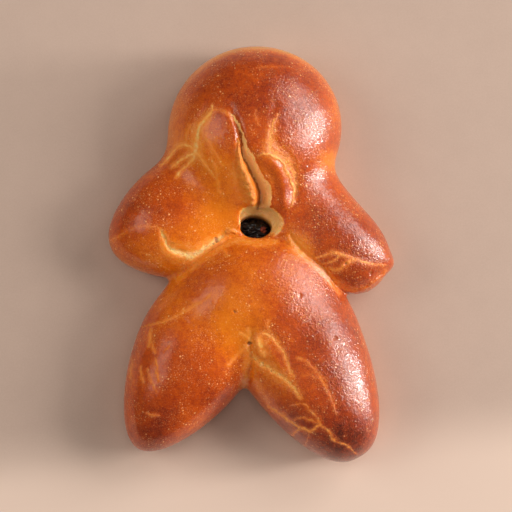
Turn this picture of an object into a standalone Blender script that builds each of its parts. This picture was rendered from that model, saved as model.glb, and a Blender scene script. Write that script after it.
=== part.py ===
"""Brioche man: a plump little man of egg-washed brioche dough, baked flat on a tray.

The loaf is one solid. Seven risen lobes (head, chest, two arms, belly, two legs) are joined as the
dough joined in the oven: softly inside the upper half and inside the lower half, and with a sharp
crease where the two halves only press together. A raisin lies in the pocket between the halves.
The man lies on his back: head towards +Y, face up, flat base at z = 0. Sizes are in metres.
"""

import math

import bmesh
import bpy
import numpy as np
from mathutils import Matrix

# Every lobe is widest at one level, tucks in below it towards the tray, and rises above it
WIDEST_AT = 0.014
TUCK_DEPTH = 0.026
ROUNDNESS = 2.2

# A lobe: its middle in plan, the heading of its long axis in degrees, half its length and width,
# how much it narrows towards its far end, how square its plan is, and its rise
LOBES = {
    "head": dict(
        middle=(0.0012, 0.0532), heading=130, half_length=0.0367, half_width=0.0384,
        narrowing=0.03, squareness=2.0, rise=0.0290,
    ),
    "chest": dict(
        middle=(0.0013, 0.0252), heading=90, half_length=0.0236, half_width=0.0337,
        narrowing=0.21, squareness=1.9, rise=0.0175,
    ),
    "left_arm": dict(
        middle=(-0.0346, 0.0130), heading=201, half_length=0.0281, half_width=0.0253,
        narrowing=0.32, squareness=2.1, rise=0.0185,
    ),
    "right_arm": dict(
        middle=(0.0345, 0.0058), heading=-35, half_length=0.0279, half_width=0.0200,
        narrowing=0.24, squareness=2.7, rise=0.0185,
    ),
    "belly": dict(
        middle=(0.0018, -0.0170), heading=-90, half_length=0.0265, half_width=0.0270,
        narrowing=0.22, squareness=2.2, rise=0.0235,
    ),
    "left_leg": dict(
        middle=(-0.0262, -0.0456), heading=240, half_length=0.0446, half_width=0.0255,
        narrowing=0.23, squareness=1.95, rise=0.0220,
    ),
    "right_leg": dict(
        middle=(0.0251, -0.0490), heading=-61, half_length=0.0443, half_width=0.0270,
        narrowing=0.29, squareness=2.5, rise=0.0225,
    ),
}

# How far the corner of each joint is filled out with dough
NECK_BLEND = 0.0107
SHOULDER_BLEND = 0.0098
HIP_BLEND = 0.0140
CROTCH_BLEND = 0.0028
WAIST_BLEND = 0.0016

# The pocket between the halves, and the raisin that lies in it, half under the pocket's lower lip
POCKET_MIDDLE = (0.0028, 0.0125, 0.0330)
POCKET_HALF = (0.0102, 0.0072, 0.0130)
POCKET_ROUNDING = 0.0020
RAISIN_MIDDLE = (0.0008, 0.0080, 0.0195)
RAISIN_HALF = (0.0082, 0.0062, 0.0050)
RAISIN_GAP = 0.0004
SEAT_HALF = [half + RAISIN_GAP for half in RAISIN_HALF]
RAISIN_FOLDS = 7
RAISIN_FOLD_DEPTH = 0.09

# Relief that the skin took as it tore and folded: the line it follows in plan, its width to the
# left and right of someone who walks along that line, and its height, each given at the start and
# at the end of the line. A negative height is a furrow.
RELIEF = {
    "slash": dict(
        line=[(-0.0092, 0.0613), (-0.0063, 0.0541), (-0.0051, 0.0476), (-0.0051, 0.0437),
              (-0.0024, 0.0387), (0.0005, 0.0326), (0.0030, 0.0257), (0.0022, 0.0208)],
        left=(0.0016, 0.0066), right=(0.0012, 0.0014), height=(-0.0008, -0.0052),
    ),
    "slash_lip": dict(
        line=[(-0.0058, 0.0472), (-0.0055, 0.0420), (-0.0049, 0.0381), (-0.0032, 0.0342),
              (-0.0015, 0.0303), (0.0000, 0.0268), (0.0000, 0.0208)],
        left=(0.0012, 0.0026), right=(0.0014, 0.0034), height=(0.0005, 0.0014),
    ),
    "flap": dict(
        line=[(0.0048, 0.0407), (0.0082, 0.0389), (0.0112, 0.0350), (0.0134, 0.0303),
              (0.0143, 0.0255), (0.0143, 0.0208)],
        left=(0.0034, 0.0040), right=(0.0034, 0.0040), height=(0.0012, 0.0014),
    ),
    "flap_tear": dict(
        line=[(0.0106, 0.0620), (0.0085, 0.0558), (0.0090, 0.0528), (0.0085, 0.0466),
              (0.0116, 0.0439), (0.0170, 0.0387), (0.0193, 0.0315), (0.0190, 0.0232)],
        left=(0.0014, 0.0018), right=(0.0014, 0.0016), height=(-0.0004, -0.0014),
    ),
    "neck_furrow": dict(
        line=[(-0.0167, 0.0645), (-0.0196, 0.0588), (-0.0232, 0.0548), (-0.0239, 0.0466),
              (-0.0271, 0.0434), (-0.0350, 0.0372)],
        left=(0.0018, 0.0024), right=(0.0018, 0.0024), height=(-0.0004, -0.0008),
    ),
    "left_arm_tear": dict(
        line=[(-0.0393, 0.0107), (-0.0371, 0.0050), (-0.0342, 0.0011), (-0.0287, -0.0004),
              (-0.0230, 0.0001), (-0.0163, 0.0050), (-0.0119, 0.0078)],
        left=(0.0012, 0.0024), right=(0.0012, 0.0024), height=(-0.0005, -0.0016),
    ),
    "right_arm_tear": dict(
        line=[(0.0277, -0.0016), (0.0359, 0.0010), (0.0425, -0.0013), (0.0493, -0.0035)],
        left=(0.0014, 0.0012), right=(0.0014, 0.0012), height=(-0.0008, -0.0003),
    ),
    "crotch_crease": dict(
        line=[(0.0003, -0.0342), (-0.0003, -0.0392), (0.0002, -0.0459), (-0.0006, -0.0520)],
        left=(0.0014, 0.0020), right=(0.0014, 0.0020), height=(-0.0006, -0.0012),
    ),
    "thigh_crack": dict(
        line=[(0.0048, -0.0344), (0.0093, -0.0359), (0.0132, -0.0413), (0.0159, -0.0478),
              (0.0186, -0.0532)],
        left=(0.0014, 0.0012), right=(0.0014, 0.0012), height=(-0.0009, -0.0003),
    ),
    "thigh_tear": dict(
        line=[(0.0010, -0.0447), (0.0053, -0.0479), (0.0100, -0.0509), (0.0152, -0.0546),
              (0.0217, -0.0621)],
        left=(0.0022, 0.0014), right=(0.0022, 0.0014), height=(-0.0009, -0.0004),
    ),
}

# Mesh fineness
ROUGH_VOXEL = 0.0020
FINE_VOXEL = 0.0010
LOAF_TRIANGLES = 10000


def clear_scene():
    for obj in list(bpy.data.objects):
        bpy.data.objects.remove(obj, do_unlink=True)


def add_object(name, mesh):
    obj = bpy.data.objects.new(name, mesh)
    bpy.context.scene.collection.objects.link(obj)
    return obj


def material(name, colour, roughness):
    made = bpy.data.materials.new(name)
    made.use_nodes = True
    shader = made.node_tree.nodes["Principled BSDF"]
    shader.inputs["Base Color"].default_value = (*colour, 1.0)
    shader.inputs["Roughness"].default_value = roughness
    shader.inputs["Metallic"].default_value = 0.0
    return made


# The form of the dough, as distances


def lobe_distance(points, lobe):
    """Roughly how far the points are outside one lobe, and negative inside it."""
    heading = math.radians(lobe["heading"])
    dx = points[:, 0] - lobe["middle"][0]
    dy = points[:, 1] - lobe["middle"][1]
    along = (dx * math.cos(heading) + dy * math.sin(heading)) / lobe["half_length"]
    half_width = lobe["half_width"] * (1 - lobe["narrowing"] * np.clip(along, -1.2, 1.2))
    across = (dy * math.cos(heading) - dx * math.sin(heading)) / half_width
    square = lobe["squareness"]
    plan = (np.abs(along) ** square + np.abs(across) ** square) ** (1 / square)
    above = points[:, 2] - WIDEST_AT
    level = np.abs(above) / np.where(above > 0, lobe["rise"], TUCK_DEPTH)
    reach = (plan**ROUNDNESS + level**ROUNDNESS) ** (1 / ROUNDNESS)
    return (reach - 1) * min(lobe["half_length"], lobe["half_width"])


def ellipsoid_distance(points, middle, half):
    """Roughly how far the points are outside an upright ellipsoid."""
    scaled = (points - np.array(middle)) / np.array(half)
    reach = np.linalg.norm(scaled, axis=1)
    slope = np.linalg.norm(scaled / np.array(half), axis=1)
    return reach * (reach - 1) / np.maximum(slope, 1e-6)


def joined(first, second, blend):
    """The nearer of two distances, with the corner between them filled out over blend."""
    overlap = np.maximum(blend - np.abs(first - second), 0) / blend
    return np.minimum(first, second) - overlap**2 * blend / 4


def dough_distance(points):
    """Roughly how far the points are outside the whole loaf, its pocket included."""
    far = {name: lobe_distance(points, lobe) for name, lobe in LOBES.items()}
    upper = joined(far["head"], far["chest"], NECK_BLEND)
    upper = joined(upper, far["left_arm"], SHOULDER_BLEND)
    upper = joined(upper, far["right_arm"], SHOULDER_BLEND)
    lower = joined(far["left_leg"], far["right_leg"], CROTCH_BLEND)
    lower = joined(lower, far["belly"], HIP_BLEND)
    loaf = joined(upper, lower, WAIST_BLEND)
    pocket = joined(
        ellipsoid_distance(points, POCKET_MIDDLE, POCKET_HALF),
        ellipsoid_distance(points, RAISIN_MIDDLE, SEAT_HALF),
        POCKET_ROUNDING,
    )
    return -joined(-loaf, pocket, POCKET_ROUNDING)


# The loaf


def rough_loaf():
    """Egg-shaped balls where the lobes lie, with a hole where the pocket is."""
    shape = bmesh.new()
    for lobe in LOBES.values():
        place = (
            Matrix.Translation((*lobe["middle"], WIDEST_AT))
            @ Matrix.Rotation(math.radians(lobe["heading"]), 4, "Z")
            @ Matrix.Diagonal((lobe["half_length"], lobe["half_width"], lobe["rise"], 1))
        )
        bmesh.ops.create_uvsphere(shape, u_segments=48, v_segments=24, radius=1, matrix=place)
    mesh = bpy.data.meshes.new("brioche_man")
    shape.to_mesh(mesh)
    shape.free()
    return add_object("brioche_man", mesh)


def add_cut(obj, name, middle, half):
    """Cuts an egg-shaped hollow out of the object."""
    shape = bmesh.new()
    place = Matrix.Translation(middle) @ Matrix.Diagonal((*half, 1))
    bmesh.ops.create_uvsphere(shape, u_segments=32, v_segments=16, radius=1, matrix=place)
    mesh = bpy.data.meshes.new(name)
    shape.to_mesh(mesh)
    shape.free()
    cutter = add_object(name, mesh)
    cutter.hide_render = True
    cutter.display_type = "WIRE"
    cut = obj.modifiers.new(name, "BOOLEAN")
    cut.operation = "DIFFERENCE"
    cut.object = cutter


def add_remesh(obj, voxel):
    remesh = obj.modifiers.new("remesh", "REMESH")
    remesh.mode = "VOXEL"
    remesh.voxel_size = voxel


def apply_modifiers(obj):
    """Gives the object the mesh that its modifiers make, and removes them."""
    bpy.context.view_layer.update()
    graph = bpy.context.evaluated_depsgraph_get()
    mesh = bpy.data.meshes.new_from_object(obj.evaluated_get(graph))
    obj.modifiers.clear()
    obj.data = mesh


def points_of(mesh):
    flat = np.empty(len(mesh.vertices) * 3)
    mesh.vertices.foreach_get("co", flat)
    return flat.reshape(-1, 3)


def set_points(mesh, points):
    mesh.vertices.foreach_set("co", points.ravel())
    mesh.update()


def slope_of(distance, points, step=0.0002):
    """The direction in which the distance grows, by how much, at each point."""
    slopes = []
    for axis in range(3):
        shift = np.zeros(3)
        shift[axis] = step
        slopes.append((distance(points + shift) - distance(points - shift)) / (2 * step))
    return np.stack(slopes, axis=1)


def settle(mesh, rounds=12, longest_move=0.0015):
    """Moves the points along the slope until they lie on the surface of the dough."""
    points = points_of(mesh)
    for _ in range(rounds):
        distance = dough_distance(points)
        slope = slope_of(dough_distance, points)
        steepness = np.maximum(np.linalg.norm(slope, axis=1), 0.2)
        move = np.clip(distance / steepness, -longest_move, longest_move)
        points -= slope * (move / steepness)[:, None]
    set_points(mesh, points)


def cut_base(mesh):
    """Cuts the loaf flat where it lay on the tray, and closes the cut with one face."""
    shape = bmesh.new()
    shape.from_mesh(mesh)
    everything = shape.verts[:] + shape.edges[:] + shape.faces[:]
    cut = bmesh.ops.bisect_plane(
        shape, geom=everything, plane_co=(0, 0, 0), plane_no=(0, 0, -1), clear_outer=True
    )
    rim = [part for part in cut["geom_cut"] if isinstance(part, bmesh.types.BMEdge)]
    bmesh.ops.edgeloop_fill(shape, edges=rim)
    bmesh.ops.recalc_face_normals(shape, faces=shape.faces[:])
    shape.to_mesh(mesh)
    shape.free()


def nearest_on_line(points, line):
    """For each point in plan: its distance to the line, signed plus on the left, and how far along."""
    corners = np.array(line)
    lengths = np.linalg.norm(np.diff(corners, axis=0), axis=1)
    starts = np.concatenate([[0], np.cumsum(lengths)])
    nearest = np.full(len(points), np.inf)
    side = np.ones(len(points))
    share = np.zeros(len(points))
    for index, length in enumerate(lengths):
        run = (corners[index + 1] - corners[index]) / length
        offset = points[:, :2] - corners[index]
        along = np.clip(offset @ run, 0, length)
        away = np.linalg.norm(offset - along[:, None] * run, axis=1)
        closer = away < nearest
        nearest = np.where(closer, away, nearest)
        left = np.where(run[0] * offset[:, 1] - run[1] * offset[:, 0] > 0, 1.0, -1.0)
        side = np.where(closer, left, side)
        share = np.where(closer, (starts[index] + along) / starts[-1], share)
    return nearest, side, share


def relief_height(points, stroke):
    """How much one stroke of relief lifts each point."""
    away, side, share = nearest_on_line(points, stroke["line"])

    def between(pair):
        return pair[0] + (pair[1] - pair[0]) * share

    width = np.where(side > 0, between(stroke["left"]), between(stroke["right"]))
    profile = np.clip(1 - away / width, 0, 1)
    return between(stroke["height"]) * profile**2 * (3 - 2 * profile)


def press_relief(mesh):
    """Lifts and sinks the points of the top skin by the strokes of relief."""
    points = points_of(mesh)
    normals = np.empty(len(mesh.vertices) * 3)
    mesh.vertex_normals.foreach_get("vector", normals)
    facing_up = np.clip((normals.reshape(-1, 3)[:, 2] - 0.1) / 0.3, 0, 1)
    for stroke in RELIEF.values():
        points[:, 2] += relief_height(points, stroke) * facing_up
    set_points(mesh, points)


def flatten_base(mesh, within=0.0003):
    points = points_of(mesh)
    points[points[:, 2] < within, 2] = 0
    set_points(mesh, points)


def make_loaf():
    loaf = rough_loaf()
    add_remesh(loaf, ROUGH_VOXEL)
    add_cut(loaf, "pocket_cutter", POCKET_MIDDLE, POCKET_HALF)
    add_cut(loaf, "seat_cutter", RAISIN_MIDDLE, SEAT_HALF)
    add_remesh(loaf, FINE_VOXEL)
    apply_modifiers(loaf)
    settle(loaf.data)
    add_remesh(loaf, FINE_VOXEL)
    apply_modifiers(loaf)
    settle(loaf.data)
    cut_base(loaf.data)
    press_relief(loaf.data)
    loaf.data.calc_loop_triangles()
    decimate = loaf.modifiers.new("decimate", "DECIMATE")
    decimate.ratio = LOAF_TRIANGLES / len(loaf.data.loop_triangles)
    decimate.use_collapse_triangulate = True
    apply_modifiers(loaf)
    flatten_base(loaf.data)
    loaf.data.shade_smooth()
    loaf.data.materials.clear()
    loaf.data.materials.append(material("egg_washed_crust", (0.52, 0.16, 0.025), 0.35))
    return loaf


# The raisin


def make_raisin():
    shape = bmesh.new()
    bmesh.ops.create_uvsphere(shape, u_segments=30, v_segments=16, radius=1)
    for vert in shape.verts:
        turn = math.atan2(vert.co.y, vert.co.x)
        fold = abs(math.sin(turn * RAISIN_FOLDS / 2 + 1.5 * vert.co.z))
        level = math.hypot(vert.co.x, vert.co.y)
        vert.co *= 1 - RAISIN_FOLD_DEPTH * level * (1 - fold)
    place = Matrix.Translation(RAISIN_MIDDLE) @ Matrix.Diagonal((*RAISIN_HALF, 1))
    bmesh.ops.transform(shape, matrix=place, verts=shape.verts)
    mesh = bpy.data.meshes.new("raisin")
    shape.to_mesh(mesh)
    shape.free()
    raisin = add_object("raisin", mesh)
    raisin.data.shade_smooth()
    raisin.data.materials.append(material("raisin_skin", (0.012, 0.006, 0.005), 0.25))
    return raisin


def centre_over_origin(objects):
    """Shifts the objects together until the middle of their shared outline is at x = y = 0."""
    everything = np.concatenate([points_of(obj.data) for obj in objects])
    middle = (everything.min(axis=0) + everything.max(axis=0)) / 2
    for obj in objects:
        set_points(obj.data, points_of(obj.data) - (middle[0], middle[1], 0))


clear_scene()
centre_over_origin([make_loaf(), make_raisin()])
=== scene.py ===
import math

import bmesh
import bpy
import numpy as np
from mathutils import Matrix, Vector, noise


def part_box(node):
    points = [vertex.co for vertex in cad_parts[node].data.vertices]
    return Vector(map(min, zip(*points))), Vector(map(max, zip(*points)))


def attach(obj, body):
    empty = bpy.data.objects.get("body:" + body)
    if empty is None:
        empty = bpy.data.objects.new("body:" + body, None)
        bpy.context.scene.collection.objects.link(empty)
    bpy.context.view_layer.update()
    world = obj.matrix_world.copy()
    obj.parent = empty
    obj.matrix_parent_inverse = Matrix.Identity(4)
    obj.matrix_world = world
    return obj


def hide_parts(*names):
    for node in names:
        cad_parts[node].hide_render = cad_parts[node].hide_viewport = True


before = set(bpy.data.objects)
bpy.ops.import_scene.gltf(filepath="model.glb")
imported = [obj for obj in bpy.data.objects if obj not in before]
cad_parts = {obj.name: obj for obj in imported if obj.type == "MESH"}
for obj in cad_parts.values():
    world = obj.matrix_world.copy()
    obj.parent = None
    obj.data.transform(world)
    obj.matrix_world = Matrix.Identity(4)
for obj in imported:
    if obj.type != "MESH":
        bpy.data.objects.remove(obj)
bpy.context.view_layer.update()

# The camera
# It looks down on the loaf, which lies on its back, from a little towards the feet and from far
# enough to see it nearly without perspective. It comes first because the marks on the crust are
# given as it sees them.
OUTLINE_LEVEL = 0.014
PICTURE_WIDTH = 0.2215
PICTURE_MIDDLE = Vector((0.0028, -0.0011, OUTLINE_LEVEL))
CAMERA_DISTANCE = 1.1
CAMERA_ELEVATION = math.radians(86)
SENSOR_WIDTH = 36.0
NEAREST_SEEN = 0.01
FARTHEST_SEEN = 10.0

eye = PICTURE_MIDDLE + CAMERA_DISTANCE * Vector(
    (0, -math.cos(CAMERA_ELEVATION), math.sin(CAMERA_ELEVATION))
)
bpy.ops.object.camera_add(location=eye, rotation=(math.pi / 2 - CAMERA_ELEVATION, 0, 0))
camera = bpy.context.object
camera.data.sensor_width = SENSOR_WIDTH
camera.data.lens = SENSOR_WIDTH * CAMERA_DISTANCE / PICTURE_WIDTH
camera.data.clip_start = NEAREST_SEEN
camera.data.clip_end = FARTHEST_SEEN
bpy.context.scene.camera = camera

# The loaf
# One piece of brioche dough, brushed with beaten egg and baked on a tray. It rose, pressed its lobes
# together and tore the skin beside them, so pale crumb shows in the slash, the pocket and the tears.
# It starts from the CAD node's form, and the marks are then shaped into a much finer skin.
MM = 0.001
MM_PER_METRE = 1000
MERGED_WITHIN = 0.00001
FORM_VOXEL = 0.0008
FORM_SMOOTHING = 10
SKIN_VOXEL = 0.0005
SKIN_SMOOTHING = 3
STEP_SMOOTHING = 0.5
BASE_WITHIN = 0.0003
FLAT_WITHIN = 0.000001
MOST_TRIANGLES = 188000


def select_only(piece):
    bpy.ops.object.select_all(action="DESELECT")
    piece.select_set(True)
    bpy.context.view_layer.objects.active = piece


def apply_modifier(piece, kind, **settings):
    select_only(piece)
    modifier = piece.modifiers.new(kind.lower(), kind)
    for name, value in settings.items():
        setattr(modifier, name, value)
    bpy.ops.object.modifier_apply(modifier=modifier.name)


def remesh(piece, voxel, smoothing):
    """Gives the piece an even skin of squares, and evens out its steps."""
    apply_modifier(piece, "REMESH", mode="VOXEL", voxel_size=voxel)
    apply_modifier(piece, "SMOOTH", factor=STEP_SMOOTHING, iterations=smoothing)


def points_of(piece):
    flat = np.empty(len(piece.data.vertices) * 3, np.float32)
    piece.data.vertices.foreach_get("co", flat)
    return flat.reshape(-1, 3).astype(float)


def normals_of(piece):
    flat = np.empty(len(piece.data.vertices) * 3, np.float32)
    piece.data.vertex_normals.foreach_get("vector", flat)
    return flat.reshape(-1, 3).astype(float)


def set_points(piece, points):
    piece.data.vertices.foreach_set("co", points.astype(np.float32).ravel())
    piece.data.update()


def as_seen(points):
    """Where the camera sees the points on the level of the outline, in millimetres."""
    eye_plan = np.array(eye.xy)
    reach = (eye.z - OUTLINE_LEVEL) / (eye.z - points[:, 2])
    return MM_PER_METRE * (eye_plan + (points[:, :2] - eye_plan) * reach[:, None])


def lumps(points, size, shift=0.0):
    """Smooth noise from -1 to 1, with lumps of that size in metres."""
    scaled = points / size + shift
    return np.array([noise.noise(point) for point in scaled])


def wavering(points, amount, size, shift):
    """Noise from minus to plus the amount."""
    return amount * lumps(points, size, shift)


def strayed(seen, points, amount, size, shifts):
    """The seen places moved about by noise, so that no mark has a ruled edge."""
    stray = np.stack([lumps(points, size, shift) for shift in shifts], axis=1)
    return seen + amount * stray


def smooth(share):
    """0 up to 0, 1 from 1, and smooth in between."""
    share = np.clip(share, 0, 1)
    return share * share * (3 - 2 * share)


def round_line(path, rounds=2, cut=0.25):
    """The path with its corners cut, so that it curves. Any third value is a half width."""
    line = np.array(path, float)
    for _ in range(rounds):
        first = (1 - cut) * line[:-1] + cut * line[1:]
        second = cut * line[:-1] + (1 - cut) * line[1:]
        inner = np.stack([first, second], 1).reshape(-1, line.shape[1])
        line = np.concatenate([line[:1], inner, line[-1:]])
    return line


def beside_line(seen, path):
    """For each point: how far it is from the line, on which side (left is plus), the share of the
    way along it, and the half width of the line there."""
    line = round_line(path)
    steps = np.diff(line[:, :2], axis=0)
    lengths = np.linalg.norm(steps, axis=1)
    starts = np.concatenate([[0], np.cumsum(lengths)])
    nearest = np.full(len(seen), np.inf)
    side = np.ones(len(seen))
    share = np.zeros(len(seen))
    for index, length in enumerate(lengths):
        run = steps[index] / length
        offset = seen - line[index, :2]
        along = np.clip(offset @ run, 0, length)
        away = np.linalg.norm(offset - along[:, None] * run, axis=1)
        closer = away < nearest
        nearest[closer] = away[closer]
        side[closer] = np.where(run[0] * offset[closer, 1] > run[1] * offset[closer, 0], 1.0, -1.0)
        share[closer] = (starts[index] + along[closer]) / starts[-1]
    width = np.interp(share, starts / starts[-1], line[:, 2]) if line.shape[1] > 2 else None
    return nearest, side, share, width


def stroke(seen, path, spread=1.0):
    """1 on the line, falling to 0 at its half width times the spread."""
    line = np.array(path)
    reach = line[:, 2].max() * spread
    low = line[:, :2].min(axis=0) - reach
    high = line[:, :2].max(axis=0) + reach
    near = np.all((seen > low) & (seen < high), axis=1)
    mask = np.zeros(len(seen))
    if near.any():
        away, _, _, width = beside_line(seen[near], path)
        mask[near] = smooth(1 - away / (width * spread))
    return mask


def spot(seen, x, y, radius):
    """1 in the middle of a soft round spot, falling off like a bell."""
    away = ((seen[:, 0] - x) ** 2 + (seen[:, 1] - y) ** 2) / radius**2
    return np.exp(-away)


# The marks are given in millimetres in plan as the camera sees them: x, y and the half width there.
SLASH_LEFT_EDGE = [
    (-8.6, 61.1), (-7.2, 57.5), (-5.7, 53.9), (-4.6, 50.7), (-4.5, 47.4), (-4.5, 43.5), (-3.6, 41.0),
    (-1.8, 38.5), (-0.4, 34.9), (1.1, 32.4), (2.5, 29.1), (3.6, 25.5), (3.2, 21.9), (2.0, 19.7),
]
SLASH_RIGHT_EDGE = [
    (-8.0, 61.0), (-5.4, 58.9), (-3.6, 55.3), (-1.8, 50.7), (-0.4, 46.4), (1.5, 43.2), (4.0, 38.5),
    (5.7, 33.8), (8.6, 31.0), (10.4, 27.7), (10.1, 24.5), (9.0, 19.8),
]
SLASH_DEPTH = (0.8, 4.6)
SLASH_HOLLOW = 1.5
SLASH_WIDEST = 12.0
CREVICE_AT_TOP = 0.52
CREVICE_BELOW = 0.16
CREVICE_TURNS_AT = 0.15
CREVICE_TURNS_OVER = 0.35


def slash_across(seen):
    """How far across the slash each point is, from 0 at its left edge to 1 at its right edge, how
    far along it, and which points lie in it."""
    left_away, left_side, along, _ = beside_line(seen, SLASH_LEFT_EDGE)
    right_away, right_side, _, _ = beside_line(seen, SLASH_RIGHT_EDGE)
    across = left_away / (left_away + right_away + 1e-9)
    near = (left_away + right_away < SLASH_WIDEST) & (along < 1)
    inside = (left_side > 0) & (right_side < 0) & near
    return across, along, inside


def crevice_share(along):
    """How far across the slash its deepest line runs."""
    turned = smooth((along - CREVICE_TURNS_AT) / CREVICE_TURNS_OVER)
    return CREVICE_AT_TOP + (CREVICE_BELOW - CREVICE_AT_TOP) * turned


def slash_cut(seen):
    """The depth of the slash in millimetres: steep on its left and sloping up on its right."""
    across, along, inside = slash_across(seen)
    deepest_at = crevice_share(along)
    falling = smooth(across / deepest_at)
    rising = np.clip((1 - across) / (1 - deepest_at), 0, 1) ** SLASH_HOLLOW
    deepest = SLASH_DEPTH[0] + (SLASH_DEPTH[1] - SLASH_DEPTH[0]) * along
    return -deepest * np.minimum(falling, rising) * inside


# How the skin folded, swelled and sank: how far each mark stands up (minus is down) and its path.
FORM_MARKS = {
    "slash_lip": (0.7, [
        (-5.4, 47.8, 0.4), (-5.3, 44.8, 0.5), (-4.9, 41.8, 0.8), (-4.3, 37.9, 1.8),
        (-2.6, 34, 2.3), (-0.9, 30.1, 2.4), (0.6, 26.6, 2.3), (1.5, 23.6, 2),
        (0.6, 20.6, 1.4),
    ]),
    "flap_ridge": (0.5, [
        (5.4, 40.5, 2.4), (8.8, 38.7, 3.7), (11.9, 34.8, 4.1), (14, 30.1, 3.9),
        (14.9, 25.3, 3.5), (14.9, 20.6, 2.2),
    ]),
    "flap_wall_edge": (0.3, [
        (2.3, 41.8, 0.7), (4.9, 37.4, 0.9), (7.5, 33.1, 1), (9.9, 29.2, 1),
        (10.3, 25.8, 0.7),
    ]),
    "pocket_lip": (0.25, [
        (-5.5, 9.4, 0.6), (-1.1, 7.3, 0.7), (2.3, 6.3, 0.7), (5.6, 5.9, 0.7),
        (9.6, 6.7, 0.7), (13.7, 9.1, 0.6),
    ]),
    "crease_left": (-1.3, [
        (-30.3, -9.5, 0.7), (-27.2, -6.5, 0.8), (-23.7, -3.4, 0.8), (-20.2, -0.1, 0.9),
        (-16.2, 2.5, 0.9), (-12.6, 4.6, 0.8), (-9.1, 6.4, 0.7), (-5.6, 8.1, 0.6),
    ]),
    "crease_right": (-1.4, [
        (17.9, 8.9, 0.7), (18.2, 6.1, 0.8), (21, 3, 0.8), (24.1, -0.3, 0.8),
        (27.2, -2.8, 0.8), (30.3, -5.2, 0.8), (33.4, -8.2, 0.8), (35.8, -12, 0.8),
        (38.6, -15.1, 0.8), (41, -16.8, 0.7),
    ]),
    "crotch_crease": (-1.2, [
        (0.9, -34.4, 0.3), (0.4, -36.5, 0.5), (0.3, -39.4, 0.7), (0.7, -41.7, 0.6),
        (0.8, -46.1, 0.6), (0.4, -50.4, 0.8), (0.0, -55.2, 1),
    ]),
    "crotch_pit": (-0.8, [
        (0.2, -38.5, 0.7), (0.3, -40.2, 0.8),
    ]),
    "thigh_welt": (0.45, [
        (2.8, -37.4, 1.7), (3.6, -40.4, 2.3), (4.5, -43.5, 2),
    ]),
    "thigh_patch": (0.35, [
        (7.1, -39.1, 2.2), (9.3, -42.6, 3), (11.4, -46.1, 2.8), (13.6, -49.5, 1.7),
    ]),
    "inner_fold": (0.2, [
        (-1.6, -39.6, 0.8), (-3.8, -42.4, 1), (-6.8, -46.1, 1.2), (-9.9, -50.5, 1.3),
        (-13.2, -53.9, 1), (-16.3, -56.9, 0.7),
    ]),
    "hand_skirt": (0.4, [
        (40.8, -15.6, 0.6), (44.3, -16.4, 0.9), (48.6, -15.9, 1), (51.9, -13.9, 1),
        (55.1, -11.2, 0.9), (59, -7.8, 0.7),
    ]),
}


def carved(seen, marks):
    """How far the marks move each point outwards, in millimetres: the most of those that meet."""
    raised = np.zeros(len(seen))
    sunk = np.zeros(len(seen))
    for height, path in marks:
        move = height * stroke(seen, path)
        raised = np.maximum(raised, move)
        sunk = np.minimum(sunk, move)
    return raised + sunk


# How the whole form wavers: how far a mark strays from its path and the lumps swell, in
# millimetres, each with the size of its noise in metres
FORM_STRAY = (0.35, 0.0035, (0.0, 31.7))
FORM_SWELLS = [(0.28, 0.017, 0.0), (0.10, 0.007, 5.0)]
FORM_FACES_UP_AT = 0.35
# The lips that lean over a hollow: the slash's left edge leans right, and the pocket's lower edge
# leans up over the raisin, most of all at its left corner
SLASH_LEAN = 0.9
LIP_MIDDLE = (3.0, 5.4)
LIP_HALF = (11.0, 4.4)
LIP_BREADTH = 1.5
LIP_PUSH = 0.3
LIP_ABOVE = 0.0250
LIP_FADES_OVER = 0.004
LIP_CORNER = (-6.4, 12.0, 5.0)
LIP_CORNER_PUSH = (3.2, 0.2)
# The right hand is drawn out to a blunt point, and its lower edge is ragged
HAND_TIP = (61.5, -4.6, 4.2)
HAND_TIP_PUSH = (1.7, -0.3)
HAND_RAGS = (49.0, -16.5, 6.5)
RAG_LENGTH = 0.3
RAG_CHANGE = 0.5
RAG_SIZE = 0.0018
RAGS_ABOVE = 0.003


def shape_form(piece):
    """Presses the large marks into the skin, where it faces up."""
    points = points_of(piece)
    normals = normals_of(piece)
    seen = strayed(as_seen(points), points, *FORM_STRAY)
    facing_up = smooth(normals[:, 2] / FORM_FACES_UP_AT)
    move = carved(seen, FORM_MARKS.values())
    for swell in FORM_SWELLS:
        move = move + wavering(points, *swell)
    points = points + normals * (move * facing_up * MM)[:, None]
    points[:, 2] += slash_cut(seen) * MM * facing_up
    points[:, 0] += SLASH_LEAN * MM * stroke(seen, FORM_MARKS["slash_lip"][1]) * facing_up

    from_lip = np.hypot(*((seen - LIP_MIDDLE) / LIP_HALF).T)
    over_raisin = smooth(LIP_BREADTH * (1 - from_lip))
    over_raisin = over_raisin * smooth((points[:, 2] - LIP_ABOVE) / LIP_FADES_OVER)
    points[:, 1] += LIP_PUSH * MM * over_raisin
    over_corner = spot(seen, *LIP_CORNER) * smooth((points[:, 2] - LIP_ABOVE) / LIP_FADES_OVER)
    points[:, :2] += MM * over_corner[:, None] * LIP_CORNER_PUSH

    points[:, :2] += MM * spot(seen, *HAND_TIP)[:, None] * HAND_TIP_PUSH
    rags = RAG_CHANGE * lumps(points, RAG_SIZE, 43.0) + RAG_LENGTH
    points[:, 1] -= MM * rags * spot(seen, *HAND_RAGS) * smooth(points[:, 2] / RAGS_ABOVE)
    set_points(piece, points)


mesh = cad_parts["brioche_man"].data.copy()
loaf = bpy.data.objects.new("glazed_loaf", mesh)
bpy.context.scene.collection.objects.link(loaf)
select_only(loaf)
bpy.ops.object.mode_set(mode="EDIT")
bpy.ops.mesh.select_all(action="SELECT")
bpy.ops.mesh.remove_doubles(threshold=MERGED_WITHIN)
bpy.ops.object.mode_set(mode="OBJECT")
remesh(loaf, FORM_VOXEL, FORM_SMOOTHING)
shape_form(loaf)
remesh(loaf, SKIN_VOXEL, SKIN_SMOOTHING)

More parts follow.
